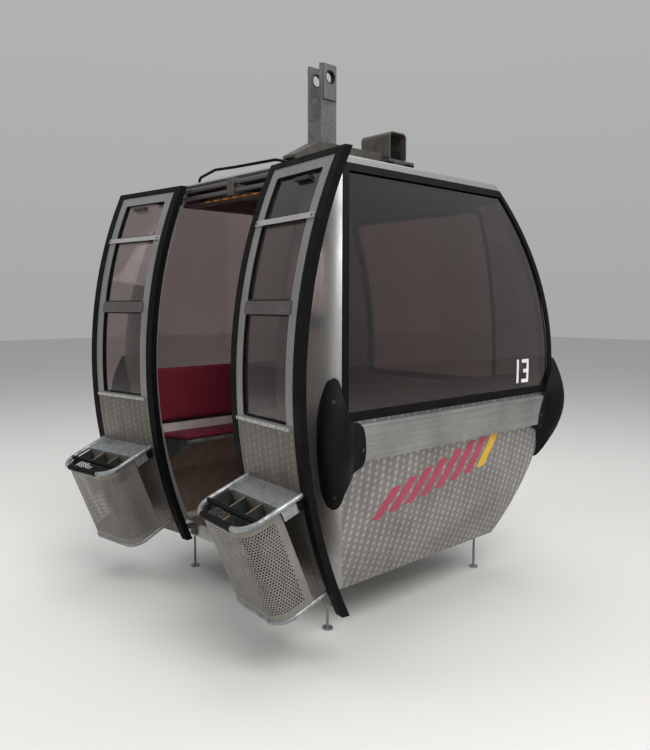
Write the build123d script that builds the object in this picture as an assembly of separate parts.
from build123d import *
import os
from math import asin, atan2, cos, degrees, radians, sin, sqrt

# Cable car cabin for six, in millimetres. X is the way it travels, -Y is the door side, +Z is up.
# It is modelled above the ground it stands on, with the cabin's middle at X = Y = 0.
# Every piece is then moved so that the origin is the centre of the hanger pin's bore.

# Cabin walls: each is one arc of a large circle in height, widest at the waist
WALL_RADIUS = 2307.0
WAIST_Z = 1240.0
HALF_LENGTH = 932.0
HALF_WIDTH = 901.0
POST_RADIUS = 120.0
POST_WRAP = 44.0
POST_CREASE = asin(1 - POST_WRAP / POST_RADIUS)
POST_SPAN = 342.0
WALL = 35.0
SEAM = 0.3
BODY_LOW = 240.0
BODY_TOP = 2285.0
ROOF_THICK = 41.0
ROOF_SEAM_Z = BODY_TOP - ROOF_THICK
ROOF_EDGE_RADIUS = 26.0
REACH = 1400.0
SECTIONS = 7

# Windows
WINDOW_LOW = 1095.0
WINDOW_GAP = 3.0
WINDOW_TOP = ROOF_SEAM_Z - WINDOW_GAP
GASKET_WIDTH = 38.0
GASKET_PROUD = 5.0
GASKET_DEPTH = 24.0
GLASS = 6.0
GLASS_INSET = 4.0
SIDE_WALL_HALF = HALF_LENGTH - POST_SPAN
SIDE_WINDOW_MARGIN = 40.0
SIDE_WINDOW_HALF = SIDE_WALL_HALF - SIDE_WINDOW_MARGIN
SIDE_WINDOW_DROP = 59.0
SIDE_WINDOW_TOP = ROOF_SEAM_Z - SIDE_WINDOW_DROP
SIDE_WINDOW_CORNER = 80.0

# Floor, ceiling and doorway
FLOOR_PAN = 56.0
FLOOR_PAN_TOP = BODY_LOW + FLOOR_PAN
FLOOR_PLATE = 14.0
FLOOR_TOP = FLOOR_PAN_TOP + FLOOR_PLATE
DOOR_HALF = 555.0
DOOR_TRIM = 20.0
CEILING_DEPTH = 72.0
CEILING_LOW = ROOF_SEAM_Z - CEILING_DEPTH
CEILING_BAND = 45.0
CEILING_SHEET = 7.0
SILL_RECESS = 201.0
SILL_FRONT = -HALF_WIDTH + SILL_RECESS
SILL_WIDTH = 110.0
SILL_STEP = 12.0
SILL_TOP = FLOOR_TOP + SILL_STEP
SILL_CLEAR = 1.0

# Stand feet
FOOT_INSET_X = 341.0
FOOT_INSET_Y = 286.0
FOOT_X = HALF_LENGTH - FOOT_INSET_X
FOOT_Y = HALF_WIDTH - FOOT_INSET_Y
FOOT_DISC = 26.0
FOOT_DISC_HEIGHT = 9.0
FOOT_ROD = 7.0
FOOT_NUT = 20.0
FOOT_NUT_HEIGHT = 12.0

# Bumper beam across each end, and a rubber bumper on each corner: a knob with a wing over the beam's end
BEAM_LOW = 912.0
BEAM_TOP = 1081.0
BEAM_PROUD = 30.0
BEAM_ROUND = 20.0
KNOB_LOW = 680.0
KNOB_TOP = 1310.0
KNOB_PROUD = 104.0
KNOB_ANGLE = radians(49)
BUMPER_EDGE = 8.0
BUMPER_FLANGE = 50.0
BUMPER_STEP = 14.0
WING_START = 80.0
WING_END = 190.0
WING_PROUD = 32.0
BUMPER_REACH = 400.0
# Outline of that bumper seen along the corner's diagonal: sideways from the corner, and height
KNOB_RIGHT = ((-4, 1289), (10, 1285), (30, 1244), (48, 1176), (64, 1125), (70, 1096))
WING_EDGE = ((94, 1089), (124, 1070), (135, 1030), (139, 980), (137, 932), (125, 895), (98, 880))
KNOB_UNDER = ((80, 866), (65, 829), (43, 774), (28, 730), (8, 704), (-9, 698))
KNOB_LEFT = ((-32, 714), (-60, 790), (-73, 897), (-77, 994), (-75, 1089), (-54, 1215), (-30, 1275))

# Benches along both ends
SEAT_STANDOFF = 132.0
SEAT_BACK = HALF_LENGTH - SEAT_STANDOFF
SEAT_DEPTH = 355.0
SEAT_FRONT = SEAT_BACK - SEAT_DEPTH
SEAT_TOP = 850.0
SEAT_THICK = 33.0
SEAT_SLOPE = 5.7
SEAT_ROUND = 12.0
SEAT_END_GAP = 141.0
SEAT_HALF = HALF_WIDTH - SEAT_END_GAP
BACK_HEIGHT = 357.0
BACK_LIFT = 18.0
BACK_LOW = SEAT_TOP + BACK_LIFT
BACK_THICK = 40.0
BACK_LEAN = 5.0
STRIP_THICK = 10.0
STRIP_HEIGHT = 80.0
BAR_RADIUS = 11.0
ARM_INSET = 30.0
ARM_Y = SEAT_HALF - ARM_INSET
ARM_DROP = 250.0
ARM_LOW = SEAT_TOP - ARM_DROP
ARM_FOOT = 110.0
BRACKET = 8.0
UPRIGHT = 260.0
UPRIGHT_FOOT = 110.0
KICK_DROP = 80.0
KICK_HEIGHT = 198.0
KICK_SHEET = 6.0

# Door leaves, mirrored, each swung out of the doorway, slid along the side and left a little askew
LEAF_SLIDE = 95.0
LEAF_SWING = 149.0
LEAF_X = DOOR_HALF + LEAF_SLIDE
LEAF_OUT = HALF_WIDTH + LEAF_SWING
LEAF_TURN = 7.07
LEAF_THICK = 30.0
LEAF_LEFT = -244.0
LEAF_RIGHT = 227.0
LEAF_RISE = 45.0
LEAF_LOW = BODY_LOW + LEAF_RISE
LEAF_DROP = 28.0
LEAF_TOP = ROOF_SEAM_Z - LEAF_DROP
LEAF_SHEET = 26.0
STILE = 57.0
BELT_Z = 1083.0
BELT_RAIL = 15.0
TOP_RAIL = 48.0
VENT_RAIL = 24.0
VENT_PANE = 194.0
MID_PANE = 337.0
MULLION = 58.0
VENT_LOW = LEAF_TOP - TOP_RAIL - VENT_PANE
MID_TOP = VENT_LOW - VENT_RAIL
MID_LOW = MID_TOP - MID_PANE
PANES = ((BELT_Z + BELT_RAIL, MID_LOW - MULLION), (MID_LOW, MID_TOP), (VENT_LOW, LEAF_TOP - TOP_RAIL))
PANE_CORNER = 10.0
PANE_DEPTH = 14.0
STRIP_DROP = 6.0
STRIP_RISE = 8.0
STRIP_PROUD = 16.0
STRIP_LEFT = 14.0
STRIP_RIGHT = 20.0
CROSSBAR_PROUD = 10.0
CROSSBAR_LEFT = 12.0
CROSSBAR_RIGHT = 4.0
SEAL_SIDE = 48.0
SEAL_TOP = 30.0
SEAL_TAIL = 35.0
SEAL_LOW = LEAF_LOW - SEAL_TAIL
SEAL_PROUD = 3.0
RAIL_PROUD = 5.0
RAIL_LAP = 8.0
HANDLE_LEFT = -25.0
HANDLE_RIGHT = 81.0
HANDLE_DROP = 68.0
HANDLE_HEIGHT = 18.0

# Ski rack on each leaf, in the tilted plane of its top hoop
RACK_Z = 813.0
RACK_X = 12.0
RACK_TILT = 22.0
RACK_HALF = 222.0
RACK_DEPTH = 306.0
RACK_ROOT = 60.0
RACK_CORNER = 95.0
RACK_TUBE = 12.0
RACK_LOW_TUBE = 10.0
RACK_SLEEVE = 16.0
RACK_PLATE_DEPTH = 117.0
RACK_PLATE = 4.0
RACK_MID_BAR = 226.0
RACK_LIP = 30.0
RACK_CHEEK = 60.0
RACK_DIVIDER_DROP = 150.0
BASKET_HEIGHT = 452.0
BASKET_SHEET = 3.0
BASKET_GAP = 2.0

# Hanger post and roof suspension
PIN_Y = -99.0
PIN_LIFT = 577.0
PIN_Z = BODY_TOP + PIN_LIFT
PIN_RADIUS = 31.0
POST_HALF_X = 56.0
POST_HALF_Y = 59.0
POST_WALL = 16.0
POST_ABOVE = 70.0
POST_TOP = PIN_Z + POST_ABOVE
FORK_DEPTH = 185.0
DOUBLER = 12.0
DOUBLER_HALF = 48.0
DOUBLER_DROP = 122.0
YOKE_LIFT = 115.0
YOKE_HEIGHT = 107.0
YOKE_LOW = BODY_TOP + YOKE_LIFT
YOKE_TOP = YOKE_LOW + YOKE_HEIGHT
YOKE_FRONT = -345.0
YOKE_NOSE = 14.0
YOKE_SLOPE = 12.0
YOKE_TAIL = 20.0
YOKE_FLAT = 160.0
FOOT_HALF = 150.0
FOOT_EDGE = 30.0
FOOT_SHEET = 12.0
FOOT_PLATE_TOP = BODY_TOP + FOOT_SHEET
CHEEK = 12.0
CHEEK_INSET = 20.0
CABLE_RADIUS = 8.0
BOX_FRONT = 345.0
BOX_WIDTH = 155.0
BOX_LIFT = 176.0
BOX_HEIGHT = 175.0
BOX_LOW = BODY_TOP + BOX_LIFT
BOX_TOP = BOX_LOW + BOX_HEIGHT
BOX_HALF = 117.0
BOX_WALL = 8.0
BOX_CORNER = 30.0
BASE_HALF = 150.0
BASE_SHEET = 12.0
BASE_FRONT = 40.0
BASE_BACK = 35.0
RIB_HEIGHT = 62.0
RIB_DEPTH = 34.0
RIBS = (-60.0, 35.0)
CORE_HALF_X = 95.0
CORE_HALF_Y = 45.0
CORE_HEIGHT = 70.0
TAB_HALF = 27.0
TAB_DROP = 12.0
PAD_HALF = 21.0

# Door gear above and below the doorway
ROD_RECESS = 173.0
ROD_Y = -HALF_WIDTH + ROD_RECESS
ROD_DROP = 64.0
ROD_PITCH = 42.0
ROD_HEIGHTS = (ROOF_SEAM_Z - ROD_DROP, ROOF_SEAM_Z - ROD_DROP + ROD_PITCH)
ROD_RADIUS = 11.0
ROD_INSET = 8.0
ROD_BRACKET_INSET = 33.0
ROD_BRACKET = 28.0
CLAMP_WIDTH = 48.0
CLAMP_REACH = 19.0
CLAMP_MARGIN = 22.0
HEADER_RECESS = 341.0
HEADER_DEPTH = 95.0
HEADER_BACK = -HALF_WIDTH + HEADER_RECESS
HEADER_FRONT = HEADER_BACK - HEADER_DEPTH
HEADER_HEIGHT = 84.0
HEADER_LOW = ROOF_SEAM_Z - HEADER_HEIGHT
HEADER_SHEET = 8.0
CARRIER_LEFT = -150.0
CARRIER_RIGHT = 10.0
CARRIER_ARMS = (-120.0, -10.0)
CARRIER_ARM = 40.0
GUIDE_LEFT = -220.0
GUIDE_WIDTH = 50.0
GUIDE_SHEET = 12.0
GUIDE_HEAD = 135.0
GUIDE_DROP = 6.0
GUIDE_BAR = 16.0

pieces = {}


def wall_at(half, inset, z):
    """Distance of a wall from the cabin's middle at one height."""
    return half - WALL_RADIUS + sqrt((WALL_RADIUS - inset) ** 2 - (z - WAIST_Z) ** 2)


def barrel_face(plane, half, inset, low, top):
    """Section of the cabin: two bulging sides between a floor line and a roof line."""
    middle = (low + top) / 2
    spots = [(wall_at(half, inset, z), z) for z in (low, middle, top)]
    right = ThreePointArc(*spots)
    left = ThreePointArc(*[(-x, z) for x, z in reversed(spots)])
    lid = Line(right @ 1, left @ 0)
    base = Line(left @ 1, right @ 0)
    return plane * make_face([right.edge(), lid.edge(), left.edge(), base.edge()])


def wall_layer(plane, half, outer, inner, low, top):
    """One layer of a bulging wall, between two depths, running the whole way along it."""
    middle = (low + top) / 2
    outside = ThreePointArc(*[(wall_at(half, outer, z), z) for z in (low, middle, top)])
    inside = ThreePointArc(*[(wall_at(half, inner, z), z) for z in (top, middle, low)])
    lid = Line(outside @ 1, inside @ 0)
    base = Line(inside @ 1, outside @ 0)
    face = plane * make_face([outside.edge(), lid.edge(), inside.edge(), base.edge()])
    return extrude(face, REACH, both=True)


def end_layer(outer, inner, low=BODY_LOW, top=ROOF_SEAM_Z):
    return wall_layer(Plane.XZ, HALF_LENGTH, outer, inner, low, top)


def side_layer(outer, inner, low=BODY_LOW, top=ROOF_SEAM_Z):
    return wall_layer(Plane.YZ, HALF_WIDTH, outer, inner, low, top)


def span(x, y, z):
    """Box between the limits of each axis."""
    size = [limits[1] - limits[0] for limits in (x, y, z)]
    middle = [(limits[1] + limits[0]) / 2 for limits in (x, y, z)]
    return Pos(*middle) * Box(*size)


def heights(low, top):
    return [low + (top - low) * k / (SECTIONS - 1) for k in range(SECTIONS)]


def outline(z, inset=0.0):
    """Plan of the cabin at one height: flat ends, a crease at each end's edge, then a round corner."""
    a, b = wall_at(HALF_LENGTH, inset, z), wall_at(HALF_WIDTH, inset, z)
    radius = POST_RADIUS - inset
    reach = radius * cos(POST_CREASE)
    turn = (POST_CREASE + radians(90)) / 2
    corner = [
        (a, b - radius * (1 - sin(POST_CREASE))),
        (a - reach + radius * cos(turn), b - radius + radius * sin(turn)),
        (a - reach, b),
    ]
    arcs = []
    for sx, sy in ((1, 1), (-1, 1), (-1, -1), (1, -1)):
        spots = [(sx * x, sy * y) for x, y in corner]
        arcs.append(ThreePointArc(*(spots if sx * sy > 0 else spots[::-1])))
    edges = []
    for before, arc in zip(arcs[-1:] + arcs[:-1], arcs):
        edges += [Line(before @ 1, arc @ 0), arc]
    return Pos(0, 0, z) * make_face([edge.edge() for edge in edges])


def slab(inset, start, stop):
    """Flat piece of the cabin's outline at one height, carried with sloping sides to another."""
    slope = atan2(wall_at(0, inset, start) - wall_at(0, inset, stop), abs(stop - start))
    direction = (0, 0, 1) if stop > start else (0, 0, -1)
    return extrude(outline(start, inset), abs(stop - start), dir=direction, taper=degrees(slope))


def end_zone(trim, low, top):
    """Everything inside an end window's outline, for the end at +X."""
    face = barrel_face(Plane.YZ, HALF_WIDTH - POST_WRAP - trim, 0, low, top)
    return extrude(face, REACH)


def mirrored(shape):
    return mirror(shape, Plane.YZ)


def both_ends(name, shape):
    pieces[name + "_front"] = shape
    pieces[name + "_rear"] = mirrored(shape)


def post_section(z, far):
    """Plan of a corner post on the door side: side wall, round corner, and a return to the end's edge."""
    a, b = wall_at(HALF_LENGTH, 0, z), wall_at(HALF_WIDTH, 0, z)
    centre_x, centre_y = a - POST_RADIUS * cos(POST_CREASE), -b + POST_RADIUS

    def spot(radius, angle):
        return centre_x + radius * cos(angle), centre_y - radius * sin(angle)

    inner = POST_RADIUS - WALL
    inner_start = asin((POST_RADIUS - POST_WRAP) / inner)
    right_angle = radians(90)
    crease = spot(POST_RADIUS, POST_CREASE)
    outer_arc = ThreePointArc(
        (centre_x, -b), spot(POST_RADIUS, (POST_CREASE + right_angle) / 2), crease
    )
    inner_arc = ThreePointArc(
        spot(inner, inner_start), spot(inner, (inner_start + right_angle) / 2), (centre_x, -b + WALL)
    )
    start = Line((far, -b), (centre_x, -b))
    rim = Line(crease, inner_arc @ 0)
    inside = Line(inner_arc @ 1, (far, -b + WALL))
    jamb = Line(inside @ 1, start @ 0)
    loop = [start, outer_arc, rim, inner_arc, inside, jamb]
    return Pos(0, 0, z) * make_face([edge.edge() for edge in loop])


def walls():
    """Corner posts, end panels, windows and gaskets, and the wall opposite the door."""
    low_zone = end_zone(SEAM, BODY_LOW - 1, WINDOW_LOW - SEAM)
    both_ends("end_panel", end_layer(0, WALL) & low_zone)

    opening = end_zone(GASKET_WIDTH, WINDOW_LOW + GASKET_WIDTH, WINDOW_TOP - GASKET_WIDTH)
    gasket_zone = end_zone(SEAM, WINDOW_LOW, WINDOW_TOP) - opening
    both_ends("end_gasket", end_layer(-GASKET_PROUD, GASKET_DEPTH, WINDOW_LOW - 50) & gasket_zone)
    pane = end_zone(GASKET_WIDTH + SEAM, WINDOW_LOW + GASKET_WIDTH + SEAM, WINDOW_TOP - GASKET_WIDTH - SEAM)
    both_ends("end_window", end_layer(GLASS_INSET, GLASS_INSET + GLASS, WINDOW_LOW - 50) & pane)

    for name, far, flip in (("door_post", DOOR_HALF, False), ("back_post", SIDE_WALL_HALF + SEAM, True)):
        top = ROOF_SEAM_Z - SEAM
        post = loft([post_section(z, far) for z in heights(BODY_LOW, top)])
        both_ends(name, mirror(post, Plane.XZ) if flip else post)

    side = side_layer(0, WALL, BODY_LOW, ROOF_SEAM_Z - SEAM)
    wall_zone = span((-SIDE_WALL_HALF, SIDE_WALL_HALF), (0, REACH), (0, BODY_TOP))
    height = SIDE_WINDOW_TOP - WINDOW_LOW
    place = Plane.XZ * Pos(0, WINDOW_LOW + height / 2)

    def light(trim, corner):
        """Prism through the side window's outline, trimmed all round."""
        width = 2 * (SIDE_WINDOW_HALF - trim)
        return extrude(place * RectangleRounded(width, height - 2 * trim, corner), -REACH)

    inner_corner = SIDE_WINDOW_CORNER - GASKET_WIDTH
    pieces["back_wall"] = (side & wall_zone) - light(0, SIDE_WINDOW_CORNER)
    ring = light(SEAM, SIDE_WINDOW_CORNER) - light(GASKET_WIDTH, inner_corner)
    pieces["back_gasket"] = side_layer(-GASKET_PROUD, GASKET_DEPTH, WINDOW_LOW - 50) & ring
    pane = light(GASKET_WIDTH + SEAM, inner_corner)
    pieces["back_window"] = side_layer(GLASS_INSET, GLASS_INSET + GLASS, WINDOW_LOW - 50) & pane


def floor_and_roof():
    """Floor pan and plate, door sill, roof slab and the dark ceiling tray under it."""
    inset = WALL + SEAM
    pieces["floor_pan"] = slab(inset, BODY_LOW, FLOOR_PAN_TOP)
    pieces["floor_plate"] = slab(inset, FLOOR_PAN_TOP + SEAM, FLOOR_TOP)

    length = (SILL_CLEAR - DOOR_HALF, DOOR_HALF - SILL_CLEAR)
    sill = span(length, (SILL_FRONT, SILL_FRONT + SILL_WIDTH), (BODY_LOW, SILL_TOP))
    floor_room = loft([outline(z, inset - SEAM) for z in heights(BODY_LOW - 1, FLOOR_TOP + SEAM)])
    pieces["door_sill"] = sill - floor_room

    roof = slab(0, ROOF_SEAM_Z, BODY_TOP)
    top_edges = roof.edges().filter_by(lambda edge: edge.bounding_box().min.Z > BODY_TOP - 1)
    pieces["roof"] = fillet(top_edges, ROOF_EDGE_RADIUS)

    tray = slab(inset, ROOF_SEAM_Z - SEAM, CEILING_LOW)
    hollow = slab(inset + CEILING_BAND, ROOF_SEAM_Z - SEAM - CEILING_SHEET, CEILING_LOW - 1)
    half = DOOR_HALF + DOOR_TRIM
    doorway = span((-half, half), (-REACH, HEADER_BACK + SEAM), (0, BODY_TOP))
    pieces["ceiling"] = tray - hollow - doorway


def header():
    """Open channel over the doorway, and the two rods that the leaves slide on."""
    length = (SILL_CLEAR - DOOR_HALF, DOOR_HALF - SILL_CLEAR)
    top = ROOF_SEAM_Z - SEAM
    channel = span(length, (HEADER_FRONT, HEADER_BACK), (HEADER_LOW, top))
    inside = (-REACH, HEADER_BACK - HEADER_SHEET)
    channel -= span((-REACH, REACH), inside, (HEADER_LOW + HEADER_SHEET, top - HEADER_SHEET))
    pieces["door_header"] = channel

    low, high = ROD_HEIGHTS
    end_wall = wall_at(HALF_LENGTH, 0, high)
    pieces["door_rods"] = Compound(children=rod_pair(ROD_RADIUS, end_wall - ROD_INSET))

    reach_y = (ROD_Y - CLAMP_REACH, ROD_Y + CLAMP_REACH)
    heights_z = (low - CLAMP_MARGIN, high + CLAMP_MARGIN)
    half = CLAMP_WIDTH / 2
    clamp = span((-half, half), reach_y, heights_z)
    stem_y = (ROD_Y + CLAMP_REACH / 2, HEADER_BACK - HEADER_SHEET - SEAM)
    clamp += span((-half, half), stem_y, (low + ROD_RADIUS, high - ROD_RADIUS))
    holes = rod_pair(ROD_RADIUS + SEAM, REACH)
    cabin = cabin_by_rods()
    brackets = [clamp - holes[0] - holes[1]]
    for side in (-1, 1):
        x = side * (end_wall - ROD_BRACKET_INSET)
        block_x = (x - ROD_BRACKET / 2, x + ROD_BRACKET / 2)
        block = span(block_x, (ROD_Y - CLAMP_REACH, -HALF_WIDTH / 2), heights_z) - cabin
        brackets.append(block - holes[0] - holes[1])
    pieces["rod_brackets"] = Compound(children=brackets)


def cabin_by_rods():
    """The cabin's outside beside the rods, with the clearance of a seam."""
    low, high = ROD_HEIGHTS
    return loft([outline(z, -SEAM) for z in heights(low - 2 * CLAMP_MARGIN, high + 2 * CLAMP_MARGIN)])


def rod_pair(radius, half):
    """The two rods over the doorway, or with a larger radius the holes for them."""
    return [Pos(0, ROD_Y, z) * Rot(0, 90, 0) * Cylinder(radius, 2 * half) for z in ROD_HEIGHTS]


def feet():
    """Four levelling feet under the floor pan."""
    group = []
    for x in (-FOOT_X, FOOT_X):
        for y in (-FOOT_Y, FOOT_Y):
            disc = Pos(x, y, FOOT_DISC_HEIGHT / 2) * Cylinder(FOOT_DISC, FOOT_DISC_HEIGHT)
            rod = Pos(x, y, BODY_LOW / 2) * Cylinder(FOOT_ROD, BODY_LOW - 2 * SEAM)
            nut = Pos(x, y, BODY_LOW - SEAM - FOOT_NUT_HEIGHT / 2) * Cylinder(FOOT_NUT, FOOT_NUT_HEIGHT)
            group.append(disc + rod + nut)
    pieces["stand_feet"] = Compound(children=group)


def bumper_section(z):
    """Plan of a corner bumper at one height: flange on the side wall, round knob, wing along the end."""
    a, b = wall_at(HALF_LENGTH, 0, z), wall_at(HALF_WIDTH, 0, z)
    share = (z - KNOB_LOW) / (KNOB_TOP - KNOB_LOW)
    thick = BUMPER_EDGE + (KNOB_PROUD - BUMPER_EDGE) * sin(radians(180) * share)
    centre_x, centre_y = a - POST_RADIUS * cos(POST_CREASE), -b + POST_RADIUS

    def spot(radius, angle):
        return centre_x + radius * cos(angle), centre_y - radius * sin(angle)

    back_x, edge_y = centre_x - BUMPER_FLANGE, -b - BUMPER_EDGE
    flange_end = (centre_x + BUMPER_STEP, edge_y)
    wing_x, wing_inner = a + WING_PROUD, a + GASKET_PROUD + SEAM
    wing_y, wing_end = -b + WING_START, -b + WING_END
    knob = ThreePointArc(flange_end, spot(POST_RADIUS + thick, KNOB_ANGLE), (wing_x, wing_y))
    angles = (POST_CREASE, (POST_CREASE + radians(90)) / 2, radians(90))
    inner_arc = ThreePointArc(*[spot(POST_RADIUS + SEAM, angle) for angle in angles])
    crease = inner_arc @ 0
    loop = [Line((back_x, edge_y), flange_end), knob]
    stops = [knob @ 1, (wing_x, wing_end), (wing_inner, wing_end), (wing_inner, crease.Y), crease]
    loop += [Line(here, there) for here, there in zip(stops, stops[1:])] + [inner_arc]
    stops = [inner_arc @ 1, (back_x, (inner_arc @ 1).Y), (back_x, edge_y)]
    loop += [Line(here, there) for here, there in zip(stops, stops[1:])]
    return Pos(0, 0, z) * make_face([edge.edge() for edge in loop])


def bumpers():
    """Beam across each end with a rounded top, and a rubber bumper on each corner."""
    runs = [Spline(*spots) for spots in (KNOB_RIGHT, WING_EDGE, KNOB_UNDER, KNOB_LEFT)]
    edges = []
    for run, after in zip(runs, runs[1:] + runs[:1]):
        edges += [run.edge(), Line(run @ 1, after @ 0).edge()]
    view = Plane(origin=(HALF_LENGTH, -HALF_WIDTH, 0), x_dir=(1, 1, 0), z_dir=(1, -1, 0))
    prism = extrude(view * make_face(edges), BUMPER_REACH, both=True)
    layer = loft([bumper_section(z) for z in heights(KNOB_LOW, KNOB_TOP)])
    bumper = keep_outer(layer & prism)
    both_ends("door_bumper", bumper)
    both_ends("back_bumper", mirror(bumper, Plane.XZ))

    band = end_layer(-BEAM_PROUD, -SEAM, BEAM_LOW, BEAM_TOP)
    corner = band.edges().filter_by(Axis.Y).group_by(Axis.Z)[-1].sort_by(Axis.X)[-1]
    band = fillet(corner, BEAM_ROUND)
    wing_room = Pos(SEAM, SEAM, 0) * prism
    both_ends("bumper_beam", keep_outer(band - wing_room - mirror(wing_room, Plane.XZ)))


def seats():
    """A bench along each end: thin cushion, backrest, strip between them, frame and kick panel."""
    place = Pos(SEAT_FRONT, 0, SEAT_TOP) * Rot(0, SEAT_SLOPE, 0)
    length = (-SEAT_HALF, SEAT_HALF)
    cushion = span((0, SEAT_DEPTH), length, (-SEAT_THICK, 0))
    cushion = fillet(cushion.edges().filter_by(Axis.Y), SEAT_ROUND)
    both_ends("seat_cushion", place * cushion)
    back = span((0, BACK_THICK), length, (0, BACK_HEIGHT))
    back = fillet(back.edges().filter_by(Axis.Y), SEAT_ROUND)
    back_place = Pos(SEAT_BACK - BACK_THICK / 2, 0, BACK_LOW) * Rot(0, BACK_LEAN, 0)
    both_ends("seat_back", back_place * back)

    strip_x = (SEAT_DEPTH - 3 * STRIP_THICK, SEAT_DEPTH - 2 * STRIP_THICK)
    strip = place * span(strip_x, length, (SEAM, STRIP_HEIGHT))
    strip -= back_place * span((-REACH, REACH), (-REACH, REACH), (-SEAM, REACH))
    pieces["seat_strips"] = Compound(children=[strip, mirrored(strip)])

    bar_place = place * Pos(BAR_RADIUS, 0, -SEAT_THICK - BAR_RADIUS - SEAM) * Rot(90, 0, 0)
    frame = bar_place * Cylinder(BAR_RADIUS, 2 * (SEAT_HALF - BAR_RADIUS))
    wall_x = wall_at(HALF_LENGTH, 0, SEAT_TOP)
    side = Plane.XZ * make_face(
        Polyline(
            (SEAT_FRONT, SEAT_TOP - SEAT_THICK - 2 * BAR_RADIUS),
            (SEAT_FRONT, SEAT_TOP),
            (wall_x, SEAT_TOP),
            (wall_x, ARM_LOW),
            (wall_x - ARM_FOOT, ARM_LOW),
            close=True,
        )
    )
    wall_room = end_layer(-REACH / 2, WALL + SEAM, ARM_LOW - 50, BACK_LOW + BACK_HEIGHT)
    seat_room = place * span((-REACH, REACH), (-REACH, REACH), (-SEAT_THICK - SEAM, REACH))
    for y in (-ARM_Y, ARM_Y):
        bracket = Pos(0, y + BRACKET / 2, 0) * extrude(side, BRACKET) - seat_room
        blade = (y - BRACKET / 2, y + BRACKET / 2)
        upright = span((BACK_THICK + SEAM, 2 * BACK_THICK), blade, (-UPRIGHT_FOOT, UPRIGHT))
        frame += bracket + back_place * upright - wall_room
    both_ends("seat_frame", frame)

    panel_half = ARM_Y - BRACKET / 2 - SEAM
    kick_top = SEAT_TOP - KICK_DROP
    panel = end_layer(WALL + SEAM, WALL + SEAM + KICK_SHEET, kick_top - KICK_HEIGHT, kick_top)
    panel &= span((0, REACH), (-panel_half, panel_half), (0, BODY_TOP))
    pieces["kick_panels"] = Compound(children=[panel, mirrored(panel)])


def arc_band(outer, inner, left, right, low, top):
    """Piece of a leaf between two depths, in the leaf's own frame with Y into the cabin."""
    def spot(inset, z):
        return WALL_RADIUS - sqrt((WALL_RADIUS - inset) ** 2 - (z - WAIST_Z) ** 2), z

    middle = (low + top) / 2
    outside = ThreePointArc(spot(outer, low), spot(outer, middle), spot(outer, top))
    inside = ThreePointArc(spot(inner, top), spot(inner, middle), spot(inner, low))
    lid = Line(outside @ 1, inside @ 0)
    base = Line(inside @ 1, outside @ 0)
    face = Plane.YZ * make_face([outside.edge(), lid.edge(), inside.edge(), base.edge()])
    return Pos(left, 0, 0) * extrude(face, right - left)


LEAF_PLACE = Location((LEAF_X, -LEAF_OUT, 0), (0, 0, -LEAF_TURN))


def leaf_pair(name, shape):
    both_ends(name, LEAF_PLACE * shape)


def leaves():
    """Frame, panes, lower panel, trim strips and rubber seal of the leaves."""
    frame = arc_band(0, LEAF_THICK, LEAF_LEFT, LEAF_RIGHT, BELT_Z + SEAM, LEAF_TOP)
    panes = []
    for low, top in PANES:
        width = LEAF_RIGHT - LEAF_LEFT - 2 * STILE
        place = Plane.XZ * Pos((LEAF_LEFT + LEAF_RIGHT) / 2, (low + top) / 2)
        frame -= extrude(place * RectangleRounded(width, top - low, PANE_CORNER), REACH, both=True)
        sheet = RectangleRounded(width - 2 * SEAM, top - low - 2 * SEAM, PANE_CORNER)
        layer = arc_band(PANE_DEPTH, PANE_DEPTH + GLASS, LEAF_LEFT, LEAF_RIGHT, BELT_Z, LEAF_TOP)
        panes.append(layer & extrude(place * sheet, REACH, both=True))
    leaf_pair("door_frame", frame)
    leaf_pair("door_glass", Compound(children=panes))
    leaf_pair("door_panel", arc_band(0, LEAF_SHEET, LEAF_LEFT, LEAF_RIGHT, LEAF_LOW, BELT_Z))

    width = (LEAF_LEFT + STRIP_LEFT, LEAF_RIGHT - STRIP_RIGHT)
    strip = arc_band(-STRIP_PROUD, -SEAM, *width, BELT_Z - STRIP_DROP, BELT_Z + STRIP_RISE)
    width = (LEAF_LEFT + CROSSBAR_LEFT, LEAF_RIGHT - CROSSBAR_RIGHT)
    bar = arc_band(-CROSSBAR_PROUD, -SEAM, *width, MID_TOP, VENT_LOW)
    strips = [LEAF_PLACE * strip, LEAF_PLACE * bar]
    pieces["door_trims"] = Compound(children=strips + [mirrored(piece) for piece in strips])

    rail = (LEAF_LEFT + STILE - RAIL_LAP, LEAF_RIGHT - STILE + RAIL_LAP, PANES[0][1], PANES[1][0])
    handle_top = LEAF_TOP - HANDLE_DROP
    grip = (HANDLE_LEFT, HANDLE_RIGHT, handle_top - HANDLE_HEIGHT, handle_top)
    fittings = [arc_band(-RAIL_PROUD, -SEAM, *rail), arc_band(-RAIL_PROUD, PANE_DEPTH - SEAM, *grip)]
    fittings = [LEAF_PLACE * piece for piece in fittings]
    pieces["door_rails"] = Compound(children=fittings + [mirrored(piece) for piece in fittings])

    rim = (LEAF_LEFT - SEAL_SIDE, LEAF_RIGHT + SEAL_SIDE, SEAL_LOW, LEAF_TOP + SEAL_TOP)
    hole = (LEAF_LEFT - SEAM, LEAF_RIGHT + SEAM, SEAL_LOW - 1, LEAF_TOP + SEAM)
    outer = arc_band(-SEAL_PROUD, LEAF_THICK + SEAL_PROUD, *rim)
    inner = arc_band(-2 * LEAF_THICK, 3 * LEAF_THICK, *hole)
    leaf_pair("door_seal", outer - inner)


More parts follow.
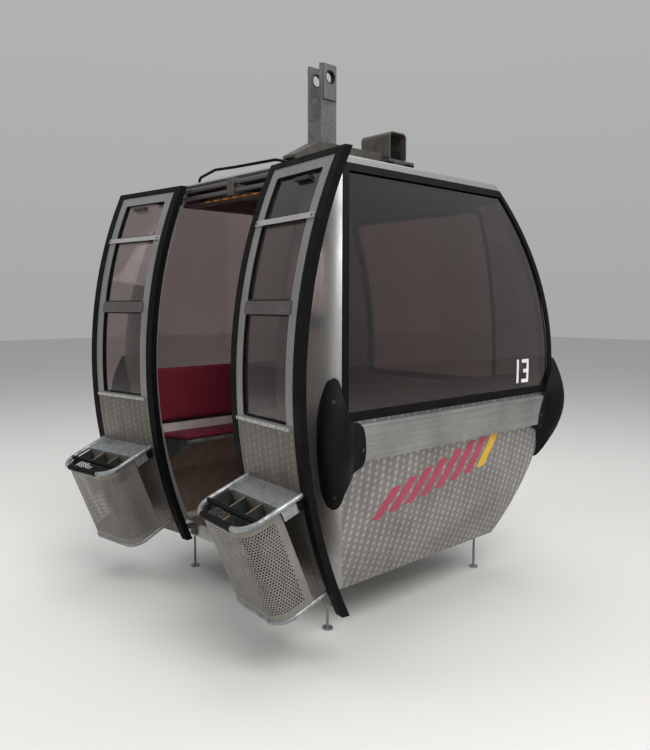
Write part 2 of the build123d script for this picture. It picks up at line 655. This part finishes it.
def carriers():
    """What holds each leaf: a roller block on the rods above, and a guide arm below."""
    leaf_depth = LEAF_THICK + SEAL_PROUD + SEAM
    leaf_body = LEAF_PLACE * arc_band(-REACH / 4, leaf_depth, -REACH, REACH, 0, BODY_TOP + 50)
    low, high = ROD_HEIGHTS
    left, right = LEAF_X + CARRIER_LEFT, LEAF_X + CARRIER_RIGHT
    reach_y = (ROD_Y - CLAMP_REACH, ROD_Y + CLAMP_REACH)
    block = span((left, right), reach_y, (low - CLAMP_MARGIN, high + CLAMP_MARGIN))
    for x in CARRIER_ARMS:
        arm_x = (LEAF_X + x - CARRIER_ARM / 2, LEAF_X + x + CARRIER_ARM / 2)
        block += span(arm_x, (-LEAF_OUT, ROD_Y), (low - ROD_RADIUS, high + ROD_RADIUS))
    block -= leaf_body
    for hole in rod_pair(ROD_RADIUS + SEAM, REACH):
        block -= hole
    pieces["door_carriers"] = Compound(children=[block, mirrored(block)])

    guide_x = (LEAF_X + GUIDE_LEFT, LEAF_X + GUIDE_LEFT + GUIDE_WIDTH)
    guide_z = (SILL_TOP - GUIDE_DROP - GUIDE_BAR, SILL_TOP - GUIDE_DROP)
    foot_y = (SILL_FRONT - GUIDE_SHEET - SEAM, SILL_FRONT - SEAM)
    arm = span(guide_x, (-LEAF_OUT, SILL_FRONT - SEAM), guide_z)
    arm += span(guide_x, foot_y, (BODY_LOW + GUIDE_SHEET, guide_z[1]))
    arm += span(guide_x, (-LEAF_OUT, SILL_FRONT - GUIDE_HEAD), (guide_z[0], guide_z[1] + 2 * GUIDE_SHEET))
    arm -= leaf_body
    pieces["door_guides"] = Compound(children=[arm, mirrored(arm)])


def racks():
    """Ski rack: galvanised hoops, top plate and dividers, rubber bars and perforated basket."""
    depth = WALL_RADIUS - sqrt(WALL_RADIUS ** 2 - (RACK_Z - WAIST_Z) ** 2)
    tilt = radians(RACK_TILT)
    plane = Plane(origin=(RACK_X, depth, RACK_Z), x_dir=(1, 0, 0), z_dir=(0, -sin(tilt), cos(tilt)))
    skin_z = (0, BELT_Z + REACH / 10)
    leaf_skin = arc_band(-SEAM, REACH / 5, -REACH, REACH, *skin_z)
    leaf_skin += arc_band(-SEAL_PROUD - SEAM, REACH / 5, LEAF_RIGHT, REACH, *skin_z)
    leaf_skin += arc_band(-SEAL_PROUD - SEAM, REACH / 5, -REACH, LEAF_LEFT, *skin_z)

    def hoop(half, front, corner, drop, radius):
        spots = ((-half, RACK_ROOT), (-half, -front), (half, -front), (half, RACK_ROOT))
        start = Plane((-half, RACK_ROOT, 0), x_dir=(1, 0, 0), z_dir=(0, -1, 0))
        tube = sweep(start * Circle(radius), FilletPolyline(*spots, radius=corner))
        return Pos(0, 0, -drop) * tube

    rim_z = -RACK_TUBE - SEAM
    floor_z = rim_z - BASKET_HEIGHT
    half = RACK_HALF - RACK_TUBE - SEAM
    low_drop = -floor_z + RACK_LOW_TUBE + SEAM
    basket_corner = RACK_CORNER - RACK_LOW_TUBE
    top_hoop = hoop(RACK_HALF, RACK_DEPTH, RACK_CORNER, 0, RACK_TUBE)
    low_front = RACK_DEPTH - 2 * BASKET_GAP
    low_hoop = hoop(half - BASKET_SHEET, low_front, RACK_CORNER - RACK_TUBE, low_drop, RACK_LOW_TUBE)
    plate = span((-RACK_HALF, RACK_HALF), (-RACK_PLATE_DEPTH, RACK_ROOT), (-RACK_PLATE, 0))
    lip_y = (-RACK_PLATE_DEPTH, -RACK_PLATE_DEPTH + RACK_PLATE)
    plate += span((-RACK_HALF, RACK_HALF), lip_y, (-RACK_LIP, 0))
    for x in (-RACK_HALF, RACK_HALF - RACK_PLATE):
        plate += span((x, x + RACK_PLATE), (-RACK_PLATE_DEPTH, RACK_ROOT), (-RACK_CHEEK, 0))
    metal = [plane * piece - leaf_skin for piece in (top_hoop + plate, low_hoop)]
    leaf_pair("rack_frame", Compound(children=[keep_outer(piece) for piece in metal]))

    middle = Pos(0, -RACK_MID_BAR, 0) * Rot(0, 90, 0) * Cylinder(RACK_TUBE, 2 * RACK_HALF)
    middle = middle - hoop(RACK_HALF, RACK_DEPTH, RACK_CORNER, 0, RACK_TUBE + SEAM)
    middle = keep_outer(middle)
    front_half = RACK_HALF - RACK_CORNER
    sleeve = Pos(0, -RACK_DEPTH, 0) * Rot(0, 90, 0) * Cylinder(RACK_SLEEVE, 2 * front_half)
    sleeve -= Pos(0, -RACK_DEPTH, 0) * Rot(0, 90, 0) * Cylinder(RACK_TUBE + SEAM, 3 * front_half)
    sleeve -= span((-REACH, REACH), (-REACH, REACH), (-REACH, rim_z + SEAM))
    bars = [LEAF_PLACE * (plane * bar) for bar in (middle, sleeve)]
    pieces["rack_bars"] = Compound(children=bars + [mirrored(bar) for bar in bars])

    back = -RACK_PLATE_DEPTH - SEAM
    front = -RACK_DEPTH + BASKET_GAP
    outer = span((-half, half), (front, back), (floor_z, rim_z))
    outer = fillet(outer.edges().filter_by(Axis.Z).group_by(Axis.Y)[0], basket_corner)
    sheet = BASKET_SHEET
    room = span((sheet - half, half - sheet), (front + sheet, back - sheet), (floor_z + sheet, rim_z + 1))
    room = fillet(room.edges().filter_by(Axis.Z).group_by(Axis.Y)[0], basket_corner - sheet)
    basket = outer - room
    divider_z = (rim_z - RACK_DIVIDER_DROP, rim_z)
    bar_room = RACK_TUBE + BASKET_GAP
    bar_back, bar_front = -RACK_MID_BAR + bar_room, -RACK_MID_BAR - bar_room
    rear_y, front_y = (bar_back, back - 1), (front + 1, bar_front)
    for x, y in ((-half / 3, rear_y), (half / 3, rear_y), (0, front_y)):
        basket += span((x - sheet / 2, x + sheet / 2), y, divider_z)
    leaf_pair("rack_basket", plane * basket)


def keep_outer(shape):
    """The stretch of a cut piece that lies outside the leaf."""
    return sorted(shape.solids(), key=lambda solid: solid.volume)[-1]


def hanger():
    """Square post with a forked top and a doubler plate, standing on the roof yoke."""
    post = span((-POST_HALF_X, POST_HALF_X), (-POST_HALF_Y, POST_HALF_Y), (YOKE_TOP + SEAM, POST_TOP))
    bore = POST_HALF_X - POST_WALL
    post -= span((-bore, bore), (-REACH, REACH), (POST_TOP - FORK_DEPTH, POST_TOP + 1))
    doubler_z = (PIN_Z - DOUBLER_DROP, POST_TOP - 2)
    post += span((POST_HALF_X, POST_HALF_X + DOUBLER), (-DOUBLER_HALF, DOUBLER_HALF), doubler_z)
    post -= Pos(0, 0, PIN_Z) * Rot(0, 90, 0) * Cylinder(PIN_RADIUS, REACH)
    pieces["hanger_post"] = Pos(0, PIN_Y, 0) * post

    side = Plane.YZ * make_face(
        Polyline(
            (YOKE_FRONT, YOKE_LOW),
            (YOKE_FRONT, YOKE_LOW + YOKE_NOSE),
            (PIN_Y - POST_HALF_Y - YOKE_SLOPE, YOKE_TOP),
            (BOX_FRONT - SEAM, YOKE_TOP),
            (BOX_FRONT - SEAM, YOKE_LOW + YOKE_TAIL),
            (PIN_Y + YOKE_FLAT, YOKE_LOW),
            close=True,
        )
    )
    pieces["roof_yoke"] = extrude(side, POST_HALF_X, both=True)

    foot_y = (YOKE_FRONT - FOOT_EDGE, PIN_Y + FOOT_HALF)
    foot = span((-FOOT_HALF, FOOT_HALF), foot_y, (BODY_TOP + SEAM, FOOT_PLATE_TOP))
    cheek_y = (YOKE_FRONT, PIN_Y + FOOT_HALF - CHEEK_INSET)
    cheek_z = (FOOT_PLATE_TOP - SEAM, YOKE_LOW - SEAM)
    foot += span((-POST_HALF_X, -POST_HALF_X + CHEEK), cheek_y, cheek_z)
    foot += span((POST_HALF_X - CHEEK, POST_HALF_X), cheek_y, cheek_z)
    pieces["yoke_foot"] = foot


def damper_box():
    """Rounded tube across the roof that holds the yoke's end in rubber."""
    height = BOX_TOP - BOX_LOW
    centre = (0, BOX_FRONT + BOX_WIDTH / 2, (BOX_TOP + BOX_LOW) / 2)
    place = Plane(origin=centre, x_dir=(0, 1, 0), z_dir=(1, 0, 0))
    outer = extrude(place * RectangleRounded(BOX_WIDTH, height, BOX_CORNER), BOX_HALF, both=True)
    bore = RectangleRounded(BOX_WIDTH - 2 * BOX_WALL, height - 2 * BOX_WALL, BOX_CORNER - BOX_WALL)
    tube = outer - extrude(place * bore, BOX_HALF + 5, both=True)
    base_y = (BOX_FRONT - BASE_FRONT, BOX_FRONT + BOX_WIDTH + BASE_BACK)
    base = span((-BASE_HALF, BASE_HALF), base_y, (BOX_LOW - BASE_SHEET, BOX_LOW + 2))
    tube += base
    back = BOX_FRONT + 2
    low_corner, top_corner = (BOX_FRONT - RIB_DEPTH, BOX_LOW), (back, BOX_LOW + RIB_HEIGHT)
    rib = Polyline(low_corner, (back, BOX_LOW), top_corner, close=True)
    for x in RIBS:
        tube += Pos(x, 0, 0) * extrude(Plane.YZ * make_face(rib), BASE_SHEET / 2, both=True)
    tube -= span((-POST_HALF_X - 1, POST_HALF_X + 1), (0, BOX_FRONT - SEAM), (0, YOKE_TOP + 2))
    pieces["damper_box"] = tube

    middle = BOX_FRONT + BOX_WIDTH / 2
    core_y = (middle - CORE_HALF_Y, middle + CORE_HALF_Y)
    core = span((-CORE_HALF_X, CORE_HALF_X), core_y, (BOX_LOW + BOX_WALL + SEAM, BOX_LOW + CORE_HEIGHT))
    tab_z = (BOX_LOW + CORE_HEIGHT - 10, BOX_TOP - BOX_WALL - TAB_DROP)
    core += span((-BRACKET, BRACKET), (middle - TAB_HALF, middle + TAB_HALF), tab_z)
    pads = [core]
    pad_z = (BODY_TOP + SEAM, BOX_LOW - BASE_SHEET - SEAM)
    for x in (-BASE_HALF + PAD_HALF, BASE_HALF - PAD_HALF):
        for y in (BOX_FRONT - PAD_HALF, BOX_FRONT + BOX_WIDTH + 14):
            pads.append(span((x - PAD_HALF, x + PAD_HALF), (y - PAD_HALF, y + PAD_HALF), pad_z))
    pieces["damper_rubbers"] = Compound(children=pads)


def release_cable():
    """Black cable over the roof to the door gear, held at both ends."""
    path = FilletPolyline(
        (-650, -500, BODY_TOP + SEAM),
        (-650, -500, 2350),
        (-483, -500, 2378),
        (-287, -500, 2368),
        (40, -470, 2366),
        (85, -350, 2350),
        (85, -350, FOOT_PLATE_TOP + SEAM),
        radius=32,
    )
    start = Plane(origin=path @ 0, z_dir=path % 0)
    pieces["release_cable"] = sweep(start * Circle(CABLE_RADIUS), path)


walls()
floor_and_roof()
header()
feet()
bumpers()
seats()
leaves()
carriers()
racks()
hanger()
damper_box()
release_cable()

os.makedirs("parts", exist_ok=True)
to_pin = Pos(0, -PIN_Y, -PIN_Z)
for name, shape in pieces.items():
    export_step(to_pin * shape, "parts/" + name + ".step")
